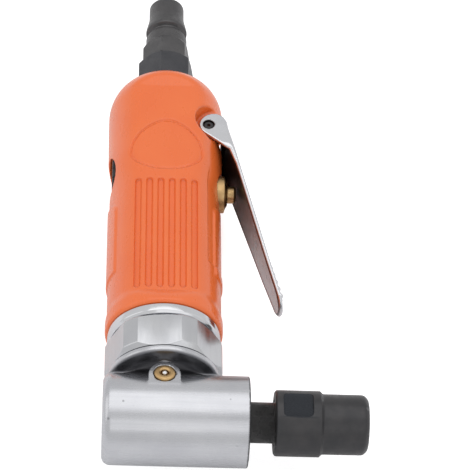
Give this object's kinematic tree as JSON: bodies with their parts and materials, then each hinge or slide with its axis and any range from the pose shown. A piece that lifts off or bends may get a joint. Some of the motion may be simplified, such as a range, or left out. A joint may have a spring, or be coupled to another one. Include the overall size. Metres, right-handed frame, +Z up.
{
  "type": "right angle die grinder",
  "caption": "Compact right angle air die grinder: a short handle with side lever throttle, a bevel gear head across its end and a collet for small shank tools.",
  "frame": {"origin": "middle of the bounding box's bottom face; the crossing of the handle axis and the spindle axis is at x -0.0196, y -0.0721, z 0.0165 m", "axes": "+Y along the handle towards the air inlet, +X along the spindle towards the collet, +Z up, with the tool lying on its side and its thumb rest uppermost"},
  "size_m": [0.0728, 0.1694, 0.033],
  "materials": {
    "cast_alloy": "polished cast alloy, lightly brushed along the barrel",
    "chrome": "bright plate",
    "orange_cover": "moulded, satin gloss",
    "black_steel": "black oxide, turned",
    "brass": "turned",
    "bearing_steel": "ground",
    "steel": "machined",
    "vane": "fabric laminate",
    "rubber": "matt",
    "felt": "pressed felt"
  },
  "bodies": {
    "root": {"angle_head": "cast_alloy", "motor_housing": "cast_alloy", "clamp_nut": "chrome", "front_ring": "chrome", "grease_ball": "chrome", "grip_sleeve": "orange_cover", "spindle_retainer": "black_steel", "lever_pin": "black_steel", "inlet_bushing": "black_steel", "air_plug": "black_steel", "grease_fitting": "brass", "throttle_bush": "brass", "inlet_screen": "brass", "spindle_rear_bearing_outer_race": "bearing_steel", "spindle_rear_bearing_balls": "bearing_steel", "spindle_front_bearing_outer_race": "bearing_steel", "spindle_front_bearing_balls": "bearing_steel", "pinion_front_bearing_outer_race": "bearing_steel", "pinion_front_bearing_balls": "bearing_steel", "pinion_rear_bearing_outer_race": "bearing_steel", "pinion_rear_bearing_balls": "bearing_steel", "rotor_front_bearing_outer_race": "bearing_steel", "rotor_front_bearing_balls": "bearing_steel", "rotor_rear_bearing_outer_race": "bearing_steel", "rotor_rear_bearing_balls": "bearing_steel", "front_end_plate": "steel", "rear_end_plate": "steel", "cylinder_liner": "steel", "wave_washer": "steel", "valve_spring": "steel", "spindle_seal": "rubber", "bush_seal": "rubber", "exhaust_silencer": "felt"},
    "lever": {"throttle_lever": "chrome"},
    "throttle": {"throttle_stem": "brass", "throttle_valve": "rubber"},
    "regulator": {"regulator_dial": "black_steel", "regulator_seal": "rubber"},
    "rotor": {"rotor": "steel", "vane_1": "vane", "vane_2": "vane", "vane_3": "vane", "vane_4": "vane", "bevel_pinion": "steel", "pinion_circlip": "steel", "rotor_front_bearing_inner_race": "bearing_steel", "rotor_rear_bearing_inner_race": "bearing_steel", "pinion_front_bearing_inner_race": "bearing_steel", "pinion_rear_bearing_inner_race": "bearing_steel"},
    "spindle": {"spindle": "black_steel", "bevel_gear": "steel", "spindle_front_bearing_inner_race": "bearing_steel", "spindle_rear_bearing_inner_race": "bearing_steel"},
    "collet": {"collet": "steel"},
    "collet_nut": {"collet_nut": "black_steel"}
  },
  "joints": [
    {"name": "lever_press", "type": "hinge", "parent": "root", "child": "lever", "pos_m": [-0.00725, 0.02767, 0.0165], "axis": [0, 0, -1], "range_deg": [0, 8.2], "stiffness_Nm_per_rad": 0.5, "springref_deg": -8.59},
    {"name": "throttle_slide", "type": "slide", "parent": "root", "child": "throttle", "axis": [-1, 0, 0], "range_m": [0, 0.0027], "deforming": ["valve_spring"]},
    {"name": "regulator_turn", "type": "hinge", "parent": "root", "child": "regulator", "pos_m": [-0.03505, 0.01317, 0.0165], "axis": [1, 0, 0], "range_deg": [0, 90]},
    {"name": "rotor_spin", "type": "hinge", "parent": "root", "child": "rotor", "pos_m": [-0.01955, -0.02213, 0.0165], "axis": [0, 1, 0], "continuous": true},
    {"name": "spindle_spin", "type": "hinge", "parent": "root", "child": "spindle", "pos_m": [-0.01955, -0.07213, 0.0165], "axis": [1, 0, 0], "continuous": true},
    {"name": "collet_slide", "type": "slide", "parent": "spindle", "child": "collet", "axis": [1, 0, 0], "range_m": [0, 0.0025]},
    {"name": "collet_nut_turn", "type": "hinge", "parent": "collet", "child": "collet_nut", "pos_m": [0.02045, -0.07213, 0.0165], "axis": [1, 0, 0], "range_deg": [0, 720]}
  ],
  "couplings": [
    {"joint": "throttle_slide", "follows": "lever_press", "m_per_rad": 0.0182},
    {"joint": "spindle_spin", "follows": "rotor_spin", "ratio": -0.78571},
    {"joint": "collet_nut_turn", "follows": "collet_slide", "rad_per_m": 5026.5}
  ]
}
